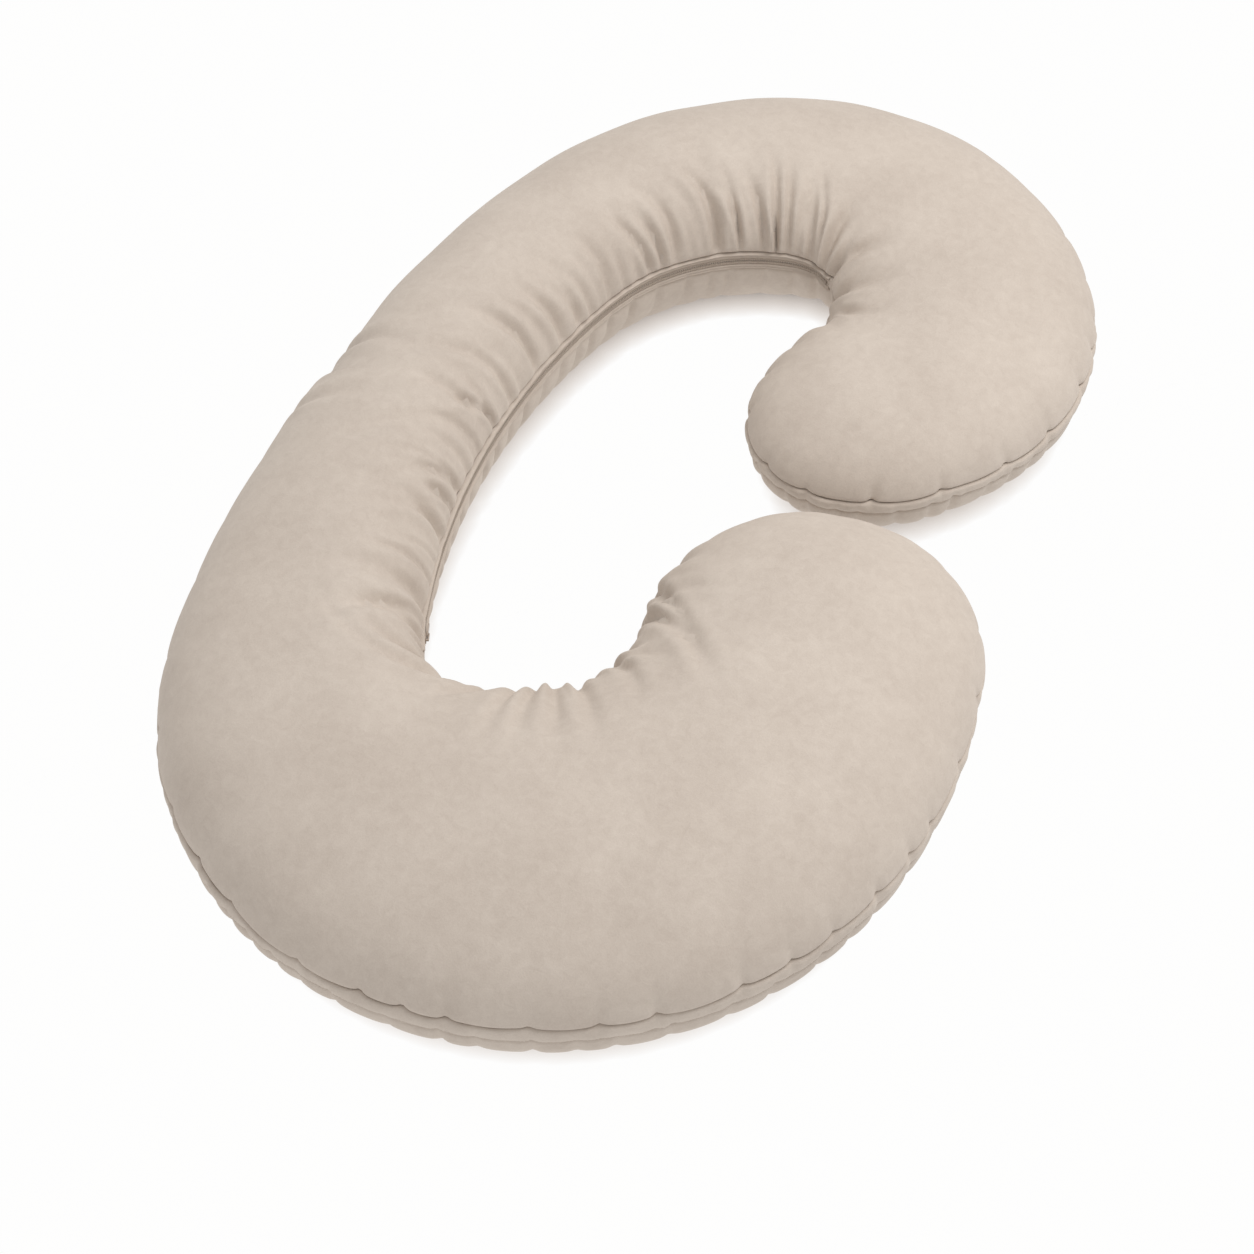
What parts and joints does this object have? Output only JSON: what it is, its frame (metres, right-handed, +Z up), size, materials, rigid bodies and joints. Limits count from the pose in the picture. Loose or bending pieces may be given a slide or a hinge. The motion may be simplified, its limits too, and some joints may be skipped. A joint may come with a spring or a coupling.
{
  "type": "nursing pillow",
  "caption": "C-shaped full-body nursing pillow: a stuffed liner in a brushed-cotton cover with an edge band and a coil zip along its inner curve.",
  "frame": {"origin": "on the floor, under the middle of the pillow's bounding box", "axes": "+Z up; +Y along the spine, from the wide foot lobe to the head lobe; +X from the spine to the open side of the C"},
  "size_m": [0.8032, 1.3392, 0.2],
  "materials": {
    "cover": "brushed cotton, matte",
    "zip_tape": "woven polyester tape",
    "zip_coil": "dyed nylon coil",
    "zip_metal": "painted zinc, satin",
    "liner": "plain cloth",
    "filling": "polyester fibre"
  },
  "bodies": {
    "pillow": {"cover_top_panel": "cover", "cover_bottom_panel": "cover", "cover_edge_band": "cover", "zip_upper_facing": "cover", "zip_lower_facing": "cover", "zip_upper_tape": "zip_tape", "zip_lower_tape": "zip_tape", "zip_upper_coil": "zip_coil", "zip_lower_coil": "zip_coil", "zip_upper_top_stop": "zip_metal", "zip_lower_top_stop": "zip_metal", "zip_bottom_stop": "zip_metal", "liner_top_panel": "liner", "liner_bottom_panel": "liner", "fibre_filling": "filling"},
    "slider": {"zip_slider": "zip_metal"},
    "pull": {"zip_pull_tab": "zip_metal"}
  },
  "joints": [
    {"name": "zip_travel", "type": "hinge", "parent": "pillow", "child": "slider", "pos_m": [0.63815, -0.00649, 0.1], "axis": [0, 0, -1], "range_deg": [0, 34.3]},
    {"name": "pull_swing", "type": "hinge", "parent": "slider", "child": "pull", "pos_m": [-0.15036, -0.25031, 0.1], "axis": [0, 0, -1], "range_deg": [0, 175]}
  ]
}
